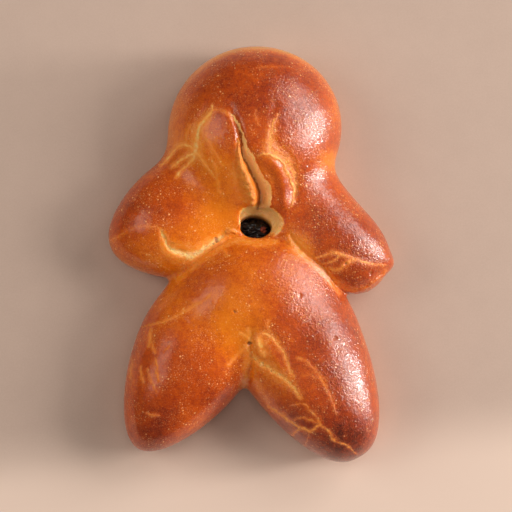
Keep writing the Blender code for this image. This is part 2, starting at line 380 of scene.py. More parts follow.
# The finer marks on the skin: how far each stands up, how pale it is, how much crumb shows in it,
# and its path.
SKIN_MARKS = {
    "slash_lip": (0.5, 0.72, 1.0, [
        (-5.2, 49.5, 0.4), (-4.8, 46.5, 0.7), (-4.4, 43.5, 1.3), (-3.9, 39.8, 2.0),
        (-3.2, 36, 2.6), (-2.0, 32, 3.2), (-0.7, 28.4, 3.5), (0.8, 25, 3.0),
        (1.4, 22, 2.0),
    ]),
    "flap_edge": (0.22, 0.9, 0.5, [
        (3.6, 42.4, 0.4), (6.1, 43.5, 0.6), (8.6, 43.2, 0.7), (11.5, 42.1, 0.9),
        (14.4, 39.9, 0.9), (15.4, 37.4, 0.8), (16.5, 34.5, 0.8), (18.3, 31.6, 0.7),
        (19, 29.1, 0.7), (19.4, 26.3, 0.6), (19, 23, 0.5), (18, 20.6, 0.3),
    ]),
    "flap_crumb": (-0.5, 0.7, 0.9, [
        (8.6, 46.4, 1.4), (12.2, 43.7, 1.9), (15.4, 41.3, 2.3), (17.9, 38.5, 2.2),
        (19.4, 35.7, 1.6), (20.1, 31.8, 1.0), (20.5, 27.7, 0.7), (19.6, 23, 0.4),
    ]),
    "temple_tear": (-0.25, 0.8, 0.8, [
        (12.4, 60.6, 0.4), (10.4, 57.3, 0.8), (9.6, 54.4, 1.2), (9.3, 51.4, 1.6),
        (8.8, 48.4, 1.7), (8.8, 45.4, 1.6),
    ]),
    "temple_fold": (-0.1, 0.5, 0.4, [
        (6.7, 47.5, 0.5), (8.6, 49.4, 0.9), (11.2, 47.9, 1), (13.6, 45.4, 1.1),
    ]),
    "temple_branch": (-0.05, 0.5, 0.1, [
        (12.5, 57.8, 0.3), (10.8, 55.2, 0.5), (9.6, 52.6, 0.7),
    ]),
    "brow_line": (-0.05, 0.5, 0.1, [
        (2.9, 62.2, 0.3), (2.5, 60, 0.4), (3.2, 57.5, 0.5), (4.7, 55, 0.3),
    ]),
    "neck_tear": (-0.25, 1.0, 0.4, [
        (-16.1, 64.3, 0.5), (-16.8, 61.4, 0.8), (-19, 58.6, 1.2), (-21.2, 56.1, 1.4),
        (-22.6, 53.4, 1.5), (-22.9, 49.9, 1.5), (-23.3, 46.4, 1.6), (-24.2, 43.2, 1.6),
        (-24.6, 40.2, 0.9),
    ]),
    "neck_arch": (-0.05, 0.6, 0.2, [
        (-17.2, 61.8, 0.9), (-14.5, 62.9, 0.8), (-11.3, 62.3, 0.7), (-8.6, 60.2, 0.6),
        (-7, 57.8, 0.5),
    ]),
    "neck_tear_outer": (-0.15, 0.95, 0.3, [
        (-24, 43.6, 1), (-27.5, 42, 0.9), (-30.6, 40, 0.8), (-33.6, 37.6, 0.6),
    ]),
    "neck_tear_up": (-0.15, 0.9, 0.3, [
        (-24.4, 45.6, 0.9), (-27.4, 47.3, 0.8), (-30.2, 47.2, 0.8), (-33, 45, 0.7),
        (-35.6, 41, 0.6), (-38.4, 38.4, 0.5),
    ]),
    "neck_tear_down": (-0.12, 0.85, 0.3, [
        (-23, 43.5, 0.9), (-20.4, 40.4, 0.8), (-18.2, 37.3, 0.5), (-15.4, 33.6, 0.4),
    ]),
    "neck_tear_lower": (-0.12, 0.9, 0.3, [
        (-24.2, 42.2, 0.9), (-26, 39, 0.8), (-29.6, 36.4, 0.6), (-31.8, 33, 0.5),
    ]),
    "neck_line_1": (-0.04, 0.55, 0.1, [
        (-19.4, 51.4, 0.4), (-17, 47, 0.6), (-14.4, 42.8, 0.5), (-12, 38.4, 0.4),
    ]),
    "neck_line_2": (-0.04, 0.55, 0.1, [
        (-26, 55.6, 0.5), (-27.6, 51.6, 0.5), (-27.4, 48.2, 0.5),
    ]),
    "neck_line_3": (-0.04, 0.5, 0.1, [
        (-16.6, 41.6, 0.4), (-14.6, 36.4, 0.6), (-14, 31.4, 0.6), (-12.4, 26.6, 0.4),
    ]),
    "arm_tear": (-0.6, 1.15, 0.7, [
        (-38.7, 10.5, 0.4), (-37.3, 7.9, 0.9), (-36.3, 4.8, 1.2), (-35.2, 2.4, 1.5),
        (-33.0, 1.4, 2.0), (-30.8, 0.4, 2.2), (-28.1, -0.6, 2.6), (-25, -1.2, 2.6),
        (-22.4, -0.1, 2.1), (-20.2, 1.7, 1.9), (-17.9, 3.5, 1.7), (-15.7, 4.8, 1.6),
        (-13.5, 6.1, 1.4), (-11.3, 7.6, 1.1),
    ]),
    "arm_slope": (-0.2, 0.45, 0.5, [
        (-34.5, -0.5, 1.2), (-31.0, -2.0, 2.0), (-27.0, -3.2, 2.6), (-23.0, -3.0, 2.6),
        (-19.5, -1.0, 2.2), (-16.0, 1.8, 1.6), (-12.5, 4.6, 1.2),
    ]),
    "arm_pit": (-0.5, 0.4, 0.8, [
        (-34.9, 4.3, 1), (-33.2, 3.8, 1),
    ]),
    "armpit_crumb": (-0.3, 0.5, 0.4, [
        (19.2, 7.6, 1.1), (21.4, 5.4, 1.8), (23.5, 2.8, 2.3), (25.7, 0.2, 2.3),
        (28.3, -1.9, 1.5),
    ]),
    "lip_bit": (0.5, 0.6, 0.8, [
        (-10, 9.1, 0.9), (-8.1, 10, 1.1), (-5.9, 9.1, 0.9),
    ]),
    "hand_tear_upper": (-0.16, 0.7, 0.4, [
        (28.2, -1.8, 0.5), (32.4, -0.8, 0.6), (35.1, 0.3, 0.8), (36.5, 0.8, 0.9),
        (40.3, -0.4, 0.9), (43.1, -1.5, 0.6), (45.2, -2.1, 0.4),
    ]),
    "hand_tear_branch": (-0.1, 0.6, 0.3, [
        (31.7, -4.9, 0.4), (35.1, -3.9, 0.6), (37.6, -2.5, 0.6), (38.6, -1.1, 0.6),
    ]),
    "hand_tear_lower": (-0.16, 0.7, 0.4, [
        (34.4, -6.6, 0.5), (37.6, -7.3, 0.8), (40.3, -6.3, 0.8), (41.4, -4.5, 0.8),
        (43.8, -3.2, 0.9), (46.9, -2.5, 0.9), (50, -3.9, 0.7), (54.3, -5, 0.5),
        (59, -5.2, 0.3),
    ]),
    "hand_skirt": (0.3, 0.35, 0.1, [
        (40.8, -15.6, 0.6), (44.3, -16.4, 0.9), (48.6, -15.9, 1), (51.9, -13.9, 1),
        (55.1, -11.2, 0.9), (59, -7.8, 0.7),
    ]),
    "arm_line_1": (-0.03, 0.4, 0, [
        (-60.3, 5.7, 0.4), (-57.4, 7.3, 0.6), (-54.4, 8.8, 0.6), (-50.2, 11.4, 0.5),
        (-44.9, 12.1, 0.4), (-40.1, 11.5, 0.3),
    ]),
    "arm_line_2": (-0.03, 0.35, 0, [
        (-47.1, 0.8, 0.3), (-44.4, -0.3, 0.4), (-41.8, -1.8, 0.5), (-38.3, -4.5, 0.5),
        (-34.7, -7.1, 0.3),
    ]),
    "waist_line": (0.08, 0.5, 0.2, [
        (-13.1, 3, 0.5), (-10.9, 1.7, 0.6), (-9.5, -0.5, 0.4),
    ]),
    "crotch_star_1": (-0.08, 0.7, 0.2, [
        (-4.2, -34.4, 0.4), (-1.6, -35.6, 0.7), (0.4, -36.6, 1), (0.8, -38, 0.8),
    ]),
    "crotch_star_2": (-0.08, 0.65, 0.2, [
        (-0.9, -32.2, 0.4), (-0.3, -34.4, 0.6), (0.5, -36.8, 0.8),
    ]),
    "crotch_star_3": (-0.08, 0.55, 0.1, [
        (-0.6, -39.8, 0.9), (-3.2, -42, 0.9), (-6.2, -44.8, 0.6), (-9, -48, 0.4),
    ]),
    "thigh_hump": (0.1, 0.78, 0.2, [
        (3.8, -37.4, 2.2), (4.8, -40.6, 2.8), (6.4, -43.6, 2.2),
    ]),
    "thigh_crack": (-0.3, 0.8, 0.5, [
        (5.4, -34.6, 0.7), (7.7, -34.8, 1), (9.9, -36.1, 1), (11.9, -38.9, 1),
        (13.8, -41.5, 0.9), (15.5, -44.2, 0.7), (16.5, -48, 0.6), (17.8, -51.3, 0.5),
        (19.2, -53.4, 0.3),
    ]),
    "thigh_tear": (-0.35, 0.9, 0.7, [
        (1.6, -44.9, 1.5), (3.6, -46.8, 1.9), (5.9, -48.1, 2), (8.6, -49.6, 1.9),
        (10.6, -51.1, 1.8), (13.2, -52.9, 1.9), (15.8, -54.8, 1.8), (18.5, -57.4, 1.4),
        (20.5, -59.8, 1), (22.3, -62.3, 0.6),
    ]),
    "thigh_slope": (-0.1, 0.15, 0.1, [
        (2.4, -48.6, 2.2), (6.2, -51.8, 2.8), (10.4, -54.4, 2.8), (14.6, -57.4, 2.4),
        (18.4, -61, 1.6),
    ]),
    "thigh_line": (-0.1, 0.5, 0.2, [
        (7.9, -29.1, 0.4), (7.6, -30.9, 0.6), (8.2, -33.5, 0.5),
    ]),
    "leg_line": (-0.12, 0.6, 0.3, [
        (20.7, -45, 0.4), (23.1, -45.8, 0.4), (25.8, -47.3, 0.6), (28.4, -50.6, 0.7),
        (30.7, -53.4, 0.9), (32.7, -57.3, 0.6), (34.7, -61.4, 0.6), (36.3, -65.1, 0.5),
        (37.5, -69, 0.4),
    ]),
    "leg_line_2": (-0.04, 0.3, 0.1, [
        (22.7, -52.1, 0.4), (25.3, -52.8, 0.5), (28.3, -53.4, 0.5), (30.9, -55.2, 0.5),
    ]),
    "web_1": (-0.12, 0.8, 0.3, [
        (8, -66, 0.4), (11.9, -68.1, 0.6), (14.5, -70.5, 0.7), (17.5, -72.5, 0.7),
        (20.2, -74.5, 0.7), (21.8, -75.4, 0.8),
    ]),
    "web_2": (-0.12, 0.7, 0.3, [
        (19.2, -72.2, 0.4), (21.2, -70.9, 0.5), (23.8, -71.1, 0.6), (26.8, -72.1, 0.6),
        (30.4, -73.6, 0.6),
    ]),
    "web_3": (-0.1, 0.65, 0.2, [
        (17.6, -65.7, 0.3), (21.2, -65.2, 0.4), (23.8, -64.8, 0.5), (25.8, -67.2, 0.5),
        (28.1, -69.8, 0.6), (30.4, -73.5, 0.6),
    ]),
    "web_4": (-0.12, 0.8, 0.3, [
        (21.8, -75.4, 0.8), (24.4, -76.4, 0.8), (26.8, -76.7, 0.7), (29.1, -75.1, 0.7),
        (30.5, -73.8, 0.7),
    ]),
    "web_5": (-0.1, 0.7, 0.3, [
        (18.3, -78.3, 0.5), (19.6, -77.2, 0.6), (21.6, -75.7, 0.7),
    ]),
    "web_6": (-0.12, 0.75, 0.3, [
        (30.5, -74.2, 0.7), (32.7, -75.9, 0.8), (34.6, -76.8, 0.8), (35, -79, 0.7),
        (36.3, -80.3, 0.7), (39, -81.9, 0.6), (41.4, -82.7, 0.5), (44, -84.6, 0.4),
        (46, -86.4, 0.3),
    ]),
    "web_7": (-0.06, 0.5, 0.1, [
        (25.7, -77.7, 0.4), (25.3, -79.8, 0.4), (24.2, -82.2, 0.4),
    ]),
    "hip_line": (-0.12, 0.55, 0.2, [
        (-46.4, -31.9, 0.3), (-41.3, -30.8, 0.4), (-36.6, -29.4, 0.4), (-31, -26.6, 0.4),
        (-26.3, -24.2, 0.4), (-21.6, -21.4, 0.4), (-18.9, -19.5, 0.4), (-16.4, -17.6, 0.2),
    ]),
    "leg_streak_1": (-0.06, 0.75, 0.3, [
        (-42.6, -32.5, 0.4), (-43, -36.5, 0.6), (-43.6, -40.2, 0.5),
    ]),
    "leg_streak_2": (-0.06, 0.75, 0.3, [
        (-42.4, -38.7, 0.4), (-41.5, -40.4, 0.5), (-40.8, -43, 0.4),
    ]),
    "leg_streak_3": (-0.06, 0.7, 0.3, [
        (-40.7, -45.4, 0.4), (-39.9, -50, 0.5), (-39.3, -55.2, 0.4),
    ]),
    "leg_streak_4": (-0.06, 0.7, 0.3, [
        (-47.1, -49.1, 0.4), (-46.7, -52.1, 0.5), (-46, -55.6, 0.4),
    ]),
    "leg_streak_5": (-0.06, 0.5, 0.3, [
        (-44.2, -50, 0.4), (-43.2, -53, 0.5), (-41.8, -56.1, 0.5), (-40.3, -59.8, 0.3),
    ]),
    "leg_streak_6": (-0.05, 0.4, 0.2, [
        (-50.7, -45.8, 0.4), (-51.2, -49.5, 0.4), (-51.2, -53.7, 0.3),
    ]),
    "leg_streak_7": (-0.06, 0.7, 0.3, [
        (-44.1, -69.1, 0.4), (-42, -69.7, 0.6), (-39.5, -70, 0.4),
    ]),
    "leg_streak_8": (-0.06, 0.5, 0.3, [
        (-37.3, -42.9, 0.3), (-36, -41.5, 0.5), (-34.5, -40, 0.3),
    ]),
    "crown_line": (-0.05, 0.3, 0, [
        (3.6, 80.9, 0.3), (7.1, 81.5, 0.4), (11, 81.6, 0.4), (15.3, 81.1, 0.3),
    ]),
}

# Single pores and dimples: x, y, radius and depth, in millimetres
PORES = [
    (0.1, -38.9, 0.9, 0.9), (-6.4, -25.2, 0.8, 0.5), (-14.4, 6.1, 0.9, 0.6), (-15.7, 4.1, 0.7, 0.5),
    (3.6, 35.4, 0.4, 0.4), (10.8, 9.4, 0.4, 0.4), (5.6, -47.6, 0.4, 0.4), (9.3, -51.0, 0.5, 0.4),
    (13.1, -52.6, 0.3, 0.4), (15.5, -53.2, 0.3, 0.4), (16.9, -55.3, 0.3, 0.3), (7.4, -49.0, 0.3, 0.3),
    (41.7, -4.5, 0.6, 0.5), (52.4, -8.7, 0.7, 0.4), (-16.0, -46.7, 0.7, 0.3), (21.8, -18.4, 0.9, 0.3),
    (37.0, -36.5, 1.0, 0.3),
]

# The edges where the skin stayed golden, because another lobe sheltered them: how golden, and path
GOLDEN_EDGES = [
    (1.0, [
        (17.5, 7.5, 1.5), (21, 2, 2.2), (24.2, -1.4, 2.4), (27.4, -4, 2.4), (30.5, -6.6, 2.4),
        (33.4, -9.8, 2.4), (35.8, -13.4, 2.2), (38.8, -17, 1.8),
    ]),
    (0.9, [
        (-31, -11.4, 1.8), (-24, -5.4, 2.2), (-16.4, 0.6, 2.4), (-9.1, 5, 2.2), (-3, 5.6, 2.2),
        (4, 4.4, 2.2), (11, 5, 2),
    ]),
    (0.8, [(28, -3.8, 2), (33, -8, 2.4), (38.5, -13.4, 2.4), (44, -15.6, 2), (50, -15, 1.6)]),
    (0.8, [(-1, -40, 2), (-0.8, -46, 2.4), (-1.2, -52, 2.4), (-3.4, -58, 2)]),
    (0.4, [(2.4, -46, 2.4), (2.2, -52, 2.6), (3.6, -58, 2.6), (8, -64, 2.2)]),
]

# How the oven browned the crust: x, y and radius of a soft spot, and how much darker it baked.
# It is lightest where the dough was sheltered, by the pocket and between the lobes.
BROWNING_AT_BASE = 0.29
BROWNING_ON_TOP = 0.60
BROWNING = [
    (1.9, 68.6, 30, 0.11), (30.5, 44.8, 16, 0.03), (-30.0, 57.8, 18, -0.04),
    (-10.6, 36.1, 18, -0.12), (-32.5, 19.0, 9, 0.10), (-22.0, 10.0, 13, -0.14),
    (-10.6, 13.6, 9, -0.20), (-53.9, 16.7, 13, 0.10), (-47.4, -5.0, 14, -0.04), (24.0, 18.8, 15, 0.07),
    (45.6, 12.3, 18, 0.09), (47.8, -11.5, 12, 0.06), (21.8, 3.7, 6, -0.26),
    (8.8, -4.0, 18, -0.08), (-8.5, -28.8, 15, -0.22), (-0.7, -39.6, 9, -0.10),
    (-34.4, -20.1, 12, -0.08), (-25.8, -50.4, 22, 0.06), (-42.0, -81.5, 12, 0.16),
    (-33.0, -66.0, 5, 0.10), (-38.0, -73.0, 5, 0.08), (-40.5, -84.5, 5, 0.10),
    (-10.7, -63.4, 9, 0.14), (5.4, -56.9, 12, -0.06), (41.3, -50.4, 24, 0.10),
    (41.0, -84.0, 17, 0.32), (17.5, -74.2, 10, 0.10), (50.0, 4.0, 16, 0.07),
    (30.0, -25.0, 22, 0.08), (28.0, 72.0, 20, 0.08), (-40.0, -2.0, 12, -0.12),
    (-16.0, 34.0, 12, -0.10), (-36.0, 55.0, 10, -0.12), (-24.0, 50.0, 10, -0.08),
    (9.0, 33.0, 6, -0.14), (34.8, 40.5, 5, -0.26), (42.0, 62.0, 9, -0.10), (50.0, 26.0, 9, -0.10),
]
# The crust is at its brownest from the first of these levels up, and the spots fade below the second
TOP_LEVEL = 0.026
SPOTS_FADE_BELOW = 0.012
# The head's upper rim is golden up to a level, given as where the gold starts to fade and ends
RIM_SPOT = (2.0, 95.0, 32)
RIM_CHANGE = -0.90
RIM_LEVEL = (0.0205, 0.0315)
# Beside the tears the skin is golden too, and it shades off over a wider band than the tear's own
GOLDEN_BY_TEARS = 0.26
TEAR_SPREAD = 1.4
TEAR_GOLDEN_SPREAD = 3.2
EDGE_GOLDEN_SPREAD = 1.3
# Noise breaks up the marks, least of all those that are paler than this
PATCHY = 0.80
PATCHY_LAYERS = [(0.6, 0.0019, 29.0), (0.4, 0.0060, 37.0)]
BROKEN_BELOW = 0.6
WHOLE_OVER = 0.3
WHOLE_GAIN = 0.3
# The walls of the slash and the pocket, which tore open: how pale they are, and how crumbly
WALL_PALE = 1.3
POCKET_PALE = 1.1
WALL_CRUMB = 0.25
WALL_OVERLAP = 0.04
WALL_FADE = (0.12, 0.10)
CREVICE_WIDTH = 0.10
CREVICE_STARTS_OVER = 0.15
POCKET_MIDDLE = (3.6, 12.9)
POCKET_HALF = (10.6, 7.8)
POCKET_EDGE = 1.12
POCKET_EDGE_FADE = 0.15
POCKET_RIM_LEVEL = 0.0345
POCKET_RIM_FADE = 0.003
POCKET_GOLDEN_BELOW = 9.0
POCKET_GOLDEN_SLANT = 0.25
POCKET_GOLDEN_LEFT = -5.8
POCKET_GOLDEN_FADE = (2.5, 3.0)
# Painted shade darkens the crumb deep in the pocket around the raisin, out to this many of its own half
# sizes from near its middle
SHADE_REACH = 1.62
SHADE_FADES_OVER = 0.60
SHADE_SHIFT = (0.0007, 0, 0)
# Painted shade darkens the pits and the slash's deepest line too
PIT_BREADTH = 1.4
PIT_PAINTED_SHADE = 0.40
PIT_SHADE_FULL_AT = 0.6
CREVICE_PAINTED_SHADE = 0.45
# How the skin wavers, in the same terms as the form
SKIN_STRAY = (0.60, 0.0022, (3.0, 47.0))
FINE_STRAY = (0.36, 0.0009, (9.0, 71.0))
SKIN_FACES_UP_AT = 0.30
CRUMB_GRAIN = [(0.50, 0.0019, 13.0), (0.42, 0.0010, 23.0)]
SKIN_SWELL = (0.07, 0.0042, 83.0)
BLISTER = (0.12, 0.0016, 61.0)
BLISTERS_ABOVE = 0.15
# The glaze dried smooth on the left and wrinkled on the right
WRINKLED_FROM = -22
WRINKLED_OVER = 50
MOST_WRINKLED = 0.9
LEAST_WRINKLED = 0.06
WRINKLE_CHANGE = (0.25, 0.014, 53.0)


def put_on(piece, name, amounts):
    """Keeps a number for each point of the piece, which its material reads."""
    attribute = piece.data.attributes.new(name, "FLOAT", "POINT")
    attribute.data.foreach_set("value", np.asarray(amounts, np.float32))


def pocket_wall(points, seen):
    """1 on the pocket's pale walls. Its lower and left sides kept their golden skin."""
    off_middle = np.hypot(*((seen - POCKET_MIDDLE) / POCKET_HALF).T)
    wall = smooth((POCKET_EDGE - off_middle) / POCKET_EDGE_FADE)
    wall = wall * smooth((POCKET_RIM_LEVEL - points[:, 2]) / POCKET_RIM_FADE)
    above_gold = seen[:, 1] - POCKET_GOLDEN_BELOW + POCKET_GOLDEN_SLANT * seen[:, 0]
    wall = wall * smooth(above_gold / POCKET_GOLDEN_FADE[1])
    return wall * smooth((seen[:, 0] - POCKET_GOLDEN_LEFT) / POCKET_GOLDEN_FADE[0])


def raisin_shade(points):
    """How much painted shade darkens each point deep in the pocket, around the raisin."""
    low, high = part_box("raisin")
    middle = np.array((low + high) / 2) - SHADE_SHIFT
    half = np.array((high - low) / 2)
    from_raisin = np.linalg.norm((points - middle) / half, axis=1)
    return smooth((SHADE_REACH - from_raisin) / SHADE_FADES_OVER)


def browning(points, seen, golden):
    """How brown the oven baked each point, from 0 for golden to 1 for nearly black."""
    on_top = smooth(points[:, 2] / TOP_LEVEL)
    browned = BROWNING_AT_BASE + (BROWNING_ON_TOP - BROWNING_AT_BASE) * on_top
    for x, y, radius, change in BROWNING:
        browned = browned + change * spot(seen, x, y, radius) * smooth(points[:, 2] / SPOTS_FADE_BELOW)
    below_rim = 1 - smooth((points[:, 2] - RIM_LEVEL[0]) / (RIM_LEVEL[1] - RIM_LEVEL[0]))
    return browned + RIM_CHANGE * spot(seen, *RIM_SPOT) * below_rim - GOLDEN_BY_TEARS * golden


def shape_skin(piece):
    """Presses the fine marks, pores and crumb into the skin, and notes where the crust is pale,
    torn or browned, and where painted shade darkens it in the pocket, the pits and the slash's crevice."""
    points = points_of(piece)
    normals = normals_of(piece)
    seen = strayed(as_seen(points), points, *SKIN_STRAY)
    seen = strayed(seen, points, *FINE_STRAY)
    facing_up = smooth(normals[:, 2] / SKIN_FACES_UP_AT)

    pale = np.zeros(len(points))
    crumb = np.zeros(len(points))
    golden = np.zeros(len(points))
    patchy = PATCHY
    for layer in PATCHY_LAYERS:
        patchy = patchy + wavering(points, *layer)
    for _, paleness, crumbliness, path in SKIN_MARKS.values():
        mask = stroke(seen, path, spread=TEAR_SPREAD)
        whole = smooth((paleness - BROKEN_BELOW) / WHOLE_OVER)
        mask = mask * np.clip(patchy + WHOLE_GAIN * whole, 0, 1)
        pale = np.maximum(pale, paleness * mask)
        crumb = np.maximum(crumb, crumbliness * mask)
        golden = np.maximum(golden, paleness * stroke(seen, path, spread=TEAR_GOLDEN_SPREAD))
    for share, path in GOLDEN_EDGES:
        golden = np.maximum(golden, share * stroke(seen, path, spread=EDGE_GOLDEN_SPREAD))

    across, along, inside = slash_across(seen)
    past_crevice = across - crevice_share(along)
    wall = smooth((past_crevice + WALL_OVERLAP) / WALL_FADE[0])
    wall = wall * smooth((1 - across) / WALL_FADE[1]) * inside
    # Painted shade along the slash's deepest line
    crevice_shade = np.exp(-((past_crevice / CREVICE_WIDTH) ** 2))
    crevice_shade = crevice_shade * smooth(along / CREVICE_STARTS_OVER) * inside
    in_pocket = pocket_wall(points, seen)
    pale = np.maximum.reduce([pale, WALL_PALE * wall, POCKET_PALE * in_pocket])
    crumb = np.maximum.reduce([crumb, WALL_CRUMB * wall, WALL_CRUMB * in_pocket])
    # Painted shade deep in the pocket around the raisin
    stain = raisin_shade(points)

    pits = np.zeros(len(points))
    for x, y, radius, depth in PORES:
        away = np.hypot(seen[:, 0] - x, seen[:, 1] - y)
        pits = np.maximum(pits, depth * smooth(PIT_BREADTH - away / radius))
    grain = sum(wavering(points, *layer) for layer in CRUMB_GRAIN)
    amount, size, shift = BLISTER
    blisters = amount * np.maximum(lumps(points, size, shift) - BLISTERS_ABOVE, 0)
    move = carved(seen, [(height, path) for height, _, _, path in SKIN_MARKS.values()])
    move = move - pits + grain * crumb**2
    move = move + (1 - crumb) * (wavering(points, *SKIN_SWELL) + blisters)
    points = points + normals * (move * facing_up * MM)[:, None]

    # Painted shade in the pits and along the slash's crevice
    pit_and_crevice_shade = np.maximum(PIT_PAINTED_SHADE * smooth(pits / PIT_SHADE_FULL_AT), CREVICE_PAINTED_SHADE * crevice_shade)
    wrinkled = smooth((seen[:, 0] - WRINKLED_FROM) / WRINKLED_OVER) * MOST_WRINKLED
    wrinkled = wrinkled + wavering(points, *WRINKLE_CHANGE)
    put_on(piece, "browned", browning(points, seen, golden))
    put_on(piece, "pale", pale)
    put_on(piece, "crumb", crumb)
    put_on(piece, "golden", golden)
    put_on(piece, "stain", np.maximum(stain, pit_and_crevice_shade))
    put_on(piece, "wrinkled", np.clip(wrinkled, LEAST_WRINKLED, 1))

    points[points[:, 2] < BASE_WITHIN, 2] = 0
    set_points(piece, points)


def thin_skin(piece):
    """Merges faces where the skin is flattest, down to the most triangles that it may have."""
    piece.data.calc_loop_triangles()
    share = MOST_TRIANGLES / len(piece.data.loop_triangles)
    apply_modifier(piece, "DECIMATE", ratio=share)


def close_base(piece):
    """Makes the flat base one large face, so that the fine ones are all spent on the skin."""
    select_only(piece)
    bpy.ops.object.mode_set(mode="EDIT")
    bpy.ops.mesh.select_all(action="DESELECT")
    shape = bmesh.from_edit_mesh(piece.data)
    for face in shape.faces:
        face.select_set(all(vert.co.z < FLAT_WITHIN for vert in face.verts))
    bmesh.update_edit_mesh(piece.data)
    bpy.ops.mesh.dissolve_faces()
    bpy.ops.object.mode_set(mode="OBJECT")


shape_skin(loaf)
thin_skin(loaf)
close_base(loaf)
loaf.data.shade_smooth()


class Value:
    """One output of a material's nodes. Sums and products of values add their Math nodes."""

    def __init__(self, tree, socket):
        self.tree = tree
        self.socket = socket

    def node(self, kind, settings, inputs, output=0):
        """Adds a node: first its settings, then the values or links of its inputs."""
        made = self.tree.nodes.new(kind)
        for name, setting in settings.items():
            if name == "stops":
                set_stops(made.color_ramp, setting)
            else:
                setattr(made, name, setting)
        for name, value in inputs.items():
            if isinstance(value, Value):
                self.tree.links.new(value.socket, made.inputs[name])
            else:
                made.inputs[name].default_value = value
        return Value(self.tree, made.outputs[output])

    def math(self, operation, first, second):
        return self.node("ShaderNodeMath", {"operation": operation}, {0: first, 1: second})

    def __add__(self, other):
        return self.math("ADD", self, other)

    __radd__ = __add__

    def __sub__(self, other):
        return self.math("SUBTRACT", self, other)

    def __rsub__(self, other):
        return self.math("SUBTRACT", other, self)

    def __mul__(self, other):
        return self.math("MULTIPLY", self, other)

    __rmul__ = __mul__

    def between(self, low, high):
        """0 below low, 1 above high and smooth in between. Low may be the larger."""
        return self.node(
            "ShaderNodeMapRange",
            {"interpolation_type": "SMOOTHSTEP"},
            {"Value": self, "From Min": low, "From Max": high},
        )

    def tint(self, base, colour):
        """The base colour turned towards another colour by this amount."""
        return self.node("ShaderNodeMix", {"data_type": "RGBA"}, {0: self, 6: base, 7: colour}, output=2)


def set_stops(ramp, stops):
    while len(ramp.elements) < len(stops):
        ramp.elements.new(1.0)
    for element, (place, colour) in zip(ramp.elements, stops):
        element.position = place
        element.color = (*colour, 1.0)


def start_finish(name):
    """A new material, its shader, and the place on the object as a value."""
    finish = bpy.data.materials.new(name)
    finish.use_nodes = True
    tree = finish.node_tree
    place = Value(tree, tree.nodes.new("ShaderNodeTexCoord").outputs["Object"])
    return finish, tree.nodes["Principled BSDF"], place


def feed(shader, name, value):
    value.tree.links.new(value.socket, shader.inputs[name])


def kept_on(place, name):
    """A number that put_on kept for each point."""
    return place.node("ShaderNodeAttribute", {"attribute_name": name}, {}, output=2)


def noise_of(place, per_metre, detail=3.0, roughness=0.55):
    return place.node(
        "ShaderNodeTexNoise",
        {},
        {"Vector": place, "Scale": per_metre, "Detail": detail, "Roughness": roughness},
    )


def dots_of(place, per_metre, smallest, largest, share):
    """Round dots, one to a cell, of differing size. Only that share of the cells has one."""
    cells = {"Vector": place, "Scale": per_metre}
    away = place.node("ShaderNodeTexVoronoi", {}, cells)
    chance = place.node("ShaderNodeTexVoronoi", {}, cells, output=1)
    chance = chance.node("ShaderNodeSeparateColor", {}, {0: chance})
    radius = chance.node(
        "ShaderNodeMapRange",
        {},
        {"Value": chance, "From Min": 1 - share, "To Min": smallest, "To Max": largest},
    )
    present = chance.between(1 - share - 0.001, 1 - share + 0.001)
    return (radius - away).between(0.0, 0.20) * present


# The colours, from golden to nearly black for the crust and from golden to cream where it tore
CRUST_STOPS = [
    (0.00, (0.870, 0.320, 0.024)),
    (0.20, (0.810, 0.240, 0.007)),
    (0.40, (0.730, 0.172, 0.002)),
    (0.60, (0.520, 0.074, 0.001)),
    (0.80, (0.290, 0.029, 0.002)),
    (1.00, (0.080, 0.010, 0.003)),
]
TORN_STOPS = [
    (0.00, (0.860, 0.210, 0.009)),
    (0.45, (0.930, 0.310, 0.035)),
    (0.75, (0.960, 0.430, 0.090)),
    (1.00, (0.980, 0.620, 0.230)),
]
# Painted shade in the gaps between the torn crumbs
CRUMB_GAP_SHADE = (0.560, 0.150, 0.015, 1.0)
SPECK_PALE = (0.920, 0.480, 0.170, 1.0)
# Painted shade of the hollows: brown, then nearly black by the raisin
PAINTED_SHADE_BROWN = (0.330, 0.110, 0.022, 1.0)
PAINTED_SHADE_DARK = (0.040, 0.011, 0.007, 1.0)
# The sizes of the patterns, as lumps or dots to a metre
PATCHES_PER_METRE = 75.0
CROWDS_PER_METRE = 120.0
FOLDS_PER_METRE = 380.0
LACE_PER_METRE = 420.0
MOTTLE_PER_METRE = 480.0
BLISTERS_PER_METRE = 820.0
RAGS_PER_METRE = 900.0
PIMPLES_PER_METRE = 1000.0
CRUMBS_PER_METRE = 1100.0
GRAIN_PER_METRE = 1700.0
FLECKS_PER_METRE = 2100.0
# How high the patterns stand on the skin, in metres
FOLD_HEIGHT = 0.00024
PIMPLE_HEIGHT = 0.00020
CROWDED_PIMPLE_HEIGHT = 0.00024
MOTTLE_HEIGHT = 0.00008
GRAIN_HEIGHT = 0.00009
CRUMB_HEIGHT = 0.00100
BLISTER_HEIGHT = 0.00003
WRINKLED_BLISTER_HEIGHT = 0.00006

glaze, shader, place = start_finish("baked_egg_glaze")
browned = kept_on(place, "browned")
pale = kept_on(place, "pale")
crumb = kept_on(place, "crumb")
golden = kept_on(place, "golden")
# Painted shade of the hollows, as shape_skin kept it
stain = kept_on(place, "stain")
wrinkled = kept_on(place, "wrinkled")

# The baked crust, with patches, mottle and grain in its brown
patches = noise_of(place, PATCHES_PER_METRE, 4.0) - 0.5
mottle = noise_of(place, MOTTLE_PER_METRE, 4.0, 0.65) - 0.5
grain = noise_of(place, GRAIN_PER_METRE, 2.0, 0.6) - 0.5
bake = browned + patches * 0.34 + mottle * 0.42 + grain * 0.36
crust = bake.node("ShaderNodeValToRGB", {"stops": CRUST_STOPS}, {0: bake})

